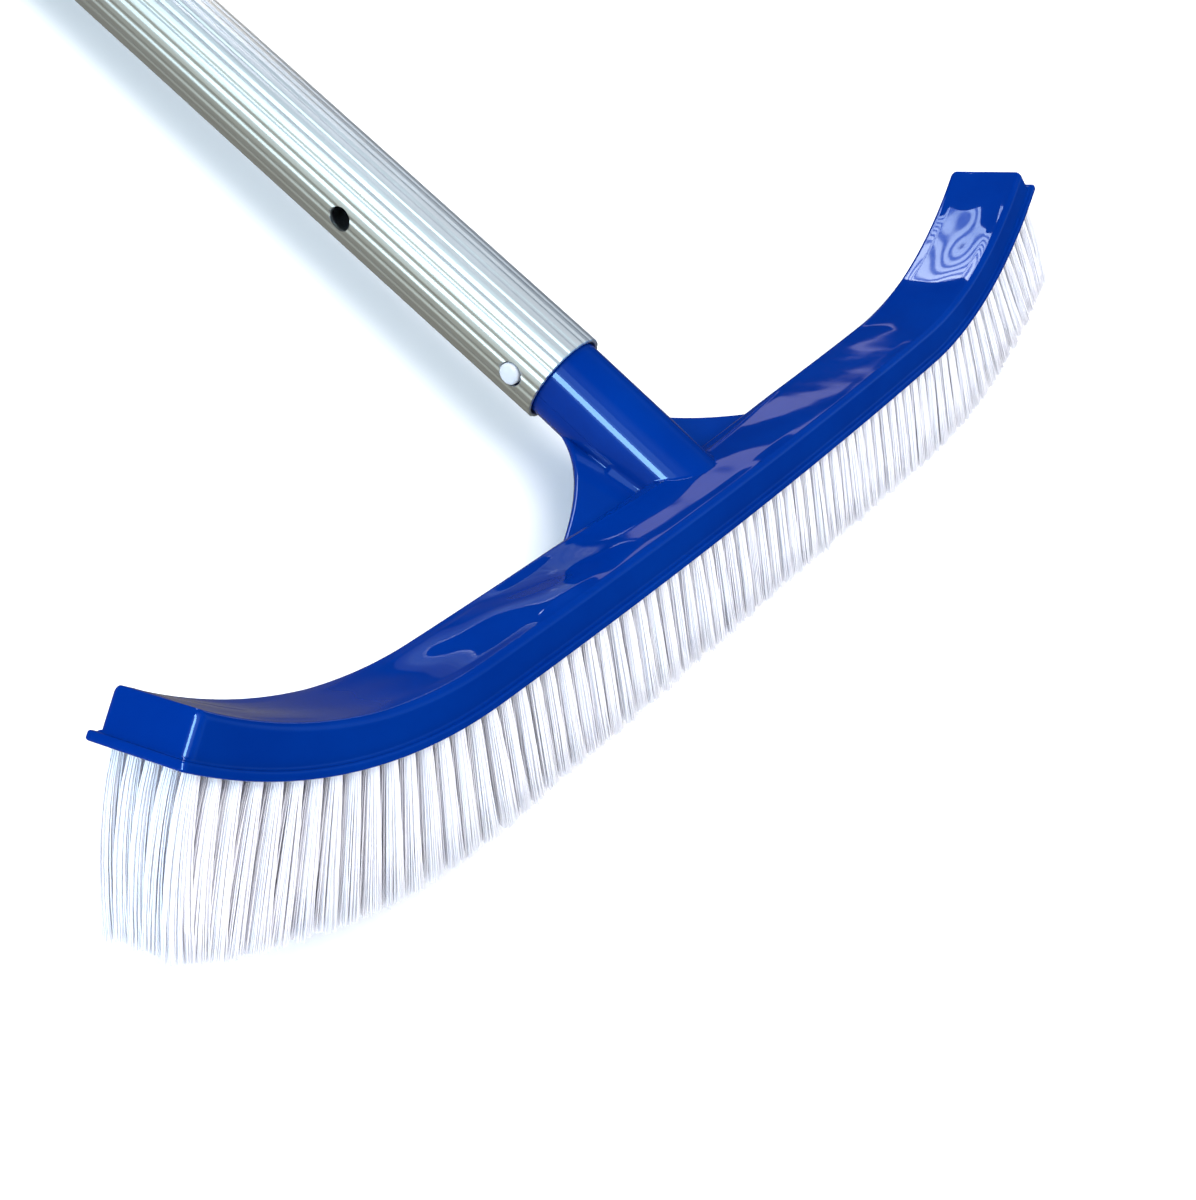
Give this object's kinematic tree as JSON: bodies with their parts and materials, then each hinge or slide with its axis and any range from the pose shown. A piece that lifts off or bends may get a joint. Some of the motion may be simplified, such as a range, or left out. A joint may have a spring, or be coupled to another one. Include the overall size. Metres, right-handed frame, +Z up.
{
  "type": "pool wall brush",
  "caption": "Curved pool wall brush with a moulded back, nylon tufts and a leaning handle tube, snap-clipped to a fluted aluminium pole with a grip.",
  "frame": {"origin": "on the ground under the middle of the whole object's box", "axes": "+Z up, X along the brush, +Y from the brush towards the pole's far end; the brush lies on its far row of tufts and on the end of its grip"},
  "size_m": [0.4646, 0.5832, 0.0801],
  "materials": {
    "blue_plastic": "glossy moulded",
    "bristle_nylon": "satin filament",
    "clip_nylon": "satin moulded",
    "pole_aluminium": "extruded, fluted, satin",
    "grip_vinyl": "matt vinyl"
  },
  "bodies": {
    "brush": {"brush_back": "blue_plastic", "clip_bow": "clip_nylon", "tufts_01": "bristle_nylon", "tufts_02": "bristle_nylon", "tufts_03": "bristle_nylon", "tufts_04": "bristle_nylon", "tufts_05": "bristle_nylon", "tufts_06": "bristle_nylon", "tufts_07": "bristle_nylon", "tufts_08": "bristle_nylon", "tufts_09": "bristle_nylon", "tufts_10": "bristle_nylon", "tufts_11": "bristle_nylon", "tufts_12": "bristle_nylon", "tufts_13": "bristle_nylon", "tufts_14": "bristle_nylon", "tufts_15": "bristle_nylon", "tufts_16": "bristle_nylon", "tufts_17": "bristle_nylon", "tufts_18": "bristle_nylon", "tufts_19": "bristle_nylon", "tufts_20": "bristle_nylon", "tufts_21": "bristle_nylon", "tufts_22": "bristle_nylon", "tufts_23": "bristle_nylon", "tufts_24": "bristle_nylon", "tufts_25": "bristle_nylon"},
    "left_arm": {"clip_arm_left": "clip_nylon"},
    "right_arm": {"clip_arm_right": "clip_nylon"},
    "pole": {"pole_tube": "pole_aluminium", "pole_grip": "grip_vinyl", "pole_end_cap": "blue_plastic"}
  },
  "joints": [
    {"name": "left_button_press", "type": "hinge", "parent": "brush", "child": "left_arm", "pos_m": [-0.0089, -0.21566, 0.03002], "axis": [0, -0.0129, -0.9999], "range_deg": [0, 7], "stiffness_Nm_per_rad": 2.5, "springref_deg": -1.72},
    {"name": "right_button_press", "type": "hinge", "parent": "brush", "child": "right_arm", "pos_m": [0.0089, -0.21566, 0.03002], "axis": [0, 0.0129, 0.9999], "range_deg": [0, 7], "stiffness_Nm_per_rad": 2.5, "springref_deg": -1.72},
    {"name": "pole_pull", "type": "slide", "parent": "brush", "child": "pole", "axis": [-0.0163, 0.9996, -0.0233], "range_m": [0, 0.12]}
  ]
}
